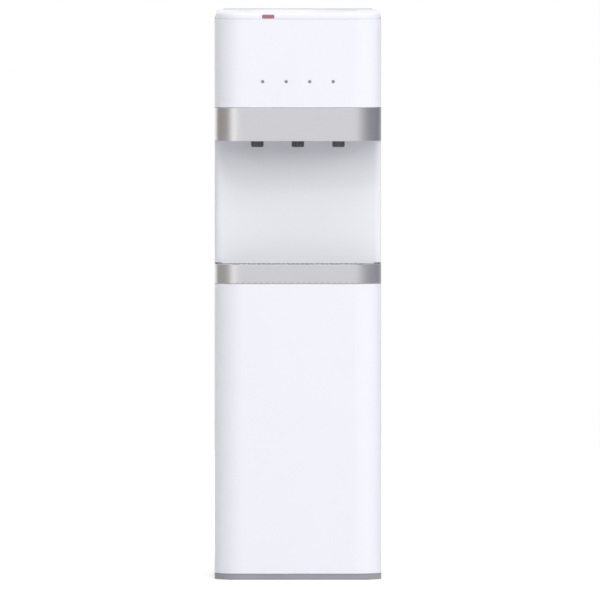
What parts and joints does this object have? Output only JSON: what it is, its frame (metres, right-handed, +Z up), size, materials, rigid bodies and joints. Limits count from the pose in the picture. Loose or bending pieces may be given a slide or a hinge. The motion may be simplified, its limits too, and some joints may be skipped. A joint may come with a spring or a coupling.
{
  "type": "top-loading water cooler",
  "caption": "Floor-standing water cooler with a bottle seat on top, cup-operated taps under a silver band, an open serving niche and a pull-out drip tray.",
  "frame": {"origin": "on the floor, in the middle of the cabinet's outline", "axes": "+X to the viewer's right when facing the front, +Y towards the back, +Z up; the front faces -Y"},
  "size_m": [0.31, 0.34, 1.0571],
  "materials": {
    "white_plastic": "smooth, satin gloss",
    "niche_plastic": "smooth, satin gloss",
    "white_sheet": "powder coat",
    "rear_sheet": "powder coat",
    "galvanised": "zinc coat",
    "silver_band": "fine satin grain",
    "base_grey": "fine grain",
    "tray_grey": "fine grain",
    "grille_grey": "fine grain",
    "tap_black": "satin",
    "silicone": "soft",
    "seal_grey": "soft",
    "rubber_black": "soft",
    "steel": "bright",
    "lens_dark": "smoked, clear",
    "board_green": "solder mask",
    "button_red": "satin",
    "black_plastic": "fine grain",
    "foam_white": "bead foam",
    "copper": "drawn copper",
    "black_enamel": "stove enamel",
    "rocker_red": "satin",
    "rocker_green": "satin"
  },
  "bodies": {
    "cabinet": {"base_pan": "base_grey", "cold_tank": "steel", "compressor": "black_enamel", "compressor_grommets": "rubber_black", "compressor_terminal_cover": "black_plastic", "condenser_brackets": "black_plastic", "condenser_tube": "black_enamel", "condenser_wires": "black_enamel", "cross_braces": "galvanised", "discharge_pipe": "copper", "drain_stub": "white_plastic", "evaporator_coil": "copper", "filter_drier": "copper", "foot_pads": "rubber_black", "heater_band": "steel", "hot_tank": "steel", "hot_tank_jacket": "foam_white", "indicator_board": "board_green", "indicator_lenses": "lens_dark", "lower_front_panel": "white_plastic", "niche_ceiling": "niche_plastic", "niche_panel": "niche_plastic", "power_gland": "rubber_black", "rear_panel": "rear_sheet", "safety_switch": "black_plastic", "seat_seal": "seal_grey", "side_panel_left": "white_sheet", "side_panel_right": "white_sheet", "suction_pipe": "copper", "switch_bezel": "black_plastic", "tank_baffle": "white_plastic", "tank_insulation": "foam_white", "tap_band": "silver_band", "tap_body_cold": "tap_black", "tap_body_hot": "tap_black", "tap_body_room": "tap_black", "tap_bonnets": "tap_black", "tap_spring_cold": "steel", "tap_spring_hot": "steel", "tap_spring_room": "steel", "thermostats": "black_plastic", "top_cover": "white_plastic", "tray_shelf": "base_grey", "upper_front_panel": "white_plastic", "water_hoses": "silicone"},
    "drip_tray": {"drip_tray": "tray_grey", "tray_band": "silver_band"},
    "drip_grille": {"drip_grille": "grille_grey"},
    "bottle_seat": {"bottle_seat": "white_plastic", "feed_probe": "white_plastic"},
    "safety_button": {"safety_button": "button_red"},
    "drain_cap": {"drain_cap": "white_plastic"},
    "rocker_hot": {"rocker_hot": "rocker_red"},
    "rocker_cold": {"rocker_cold": "rocker_green"},
    "tap_lever_hot": {"tap_lever_hot": "tap_black"},
    "tap_plunger_hot": {"tap_plunger_hot": "silicone"},
    "tap_lever_room": {"tap_lever_room": "tap_black"},
    "tap_plunger_room": {"tap_plunger_room": "silicone"},
    "tap_lever_cold": {"tap_lever_cold": "tap_black"},
    "tap_plunger_cold": {"tap_plunger_cold": "silicone"}
  },
  "joints": [
    {"name": "drip_tray_slide", "type": "slide", "parent": "cabinet", "child": "drip_tray", "axis": [0, -1, 0], "range_m": [0, 0.11]},
    {"name": "drip_grille_lift", "type": "slide", "parent": "drip_tray", "child": "drip_grille", "axis": [0, 0, 1], "range_m": [0, 0.04]},
    {"name": "bottle_seat_lift", "type": "slide", "parent": "cabinet", "child": "bottle_seat", "axis": [0, 0, 1], "range_m": [0, 0.12]},
    {"name": "safety_button_press", "type": "slide", "parent": "cabinet", "child": "safety_button", "axis": [0, 1, 0], "range_m": [0, 0.0025], "stiffness_N_per_m": 600, "springref_m": -0.001},
    {"name": "drain_cap_pull", "type": "slide", "parent": "cabinet", "child": "drain_cap", "axis": [0, 1, 0], "range_m": [0, 0.012]},
    {"name": "tap_lever_hot_press", "type": "hinge", "parent": "cabinet", "child": "tap_lever_hot", "pos_m": [-0.0755, -0.135, 0.856], "axis": [1, 0, 0], "range_deg": [0, 9], "stiffness_Nm_per_rad": 0.8, "springref_deg": -8.59},
    {"name": "tap_plunger_hot_lift", "type": "slide", "parent": "cabinet", "child": "tap_plunger_hot", "axis": [0, 0, 1], "range_m": [0, 0.00228], "deforming": ["tap_spring_hot"]},
    {"name": "tap_lever_room_press", "type": "hinge", "parent": "cabinet", "child": "tap_lever_room", "pos_m": [0, -0.135, 0.856], "axis": [1, 0, 0], "range_deg": [0, 9], "stiffness_Nm_per_rad": 0.8, "springref_deg": -8.59},
    {"name": "tap_plunger_room_lift", "type": "slide", "parent": "cabinet", "child": "tap_plunger_room", "axis": [0, 0, 1], "range_m": [0, 0.00228], "deforming": ["tap_spring_room"]},
    {"name": "tap_lever_cold_press", "type": "hinge", "parent": "cabinet", "child": "tap_lever_cold", "pos_m": [0.0755, -0.135, 0.856], "axis": [1, 0, 0], "range_deg": [0, 9], "stiffness_Nm_per_rad": 0.8, "springref_deg": -8.59},
    {"name": "tap_plunger_cold_lift", "type": "slide", "parent": "cabinet", "child": "tap_plunger_cold", "axis": [0, 0, 1], "range_m": [0, 0.00228], "deforming": ["tap_spring_cold"]},
    {"name": "rocker_hot_tilt", "type": "hinge", "parent": "cabinet", "child": "rocker_hot", "pos_m": [-0.114, 0.1465, 0.9635], "axis": [1, 0, 0], "range_deg": [0, 16]},
    {"name": "rocker_cold_tilt", "type": "hinge", "parent": "cabinet", "child": "rocker_cold", "pos_m": [-0.096, 0.1465, 0.9635], "axis": [1, 0, 0], "range_deg": [0, 16]}
  ],
  "couplings": [
    {"joint": "tap_lever_hot_press", "follows": "tap_plunger_hot_lift", "rad_per_m": 69},
    {"joint": "tap_lever_room_press", "follows": "tap_plunger_room_lift", "rad_per_m": 69},
    {"joint": "tap_lever_cold_press", "follows": "tap_plunger_cold_lift", "rad_per_m": 69}
  ]
}
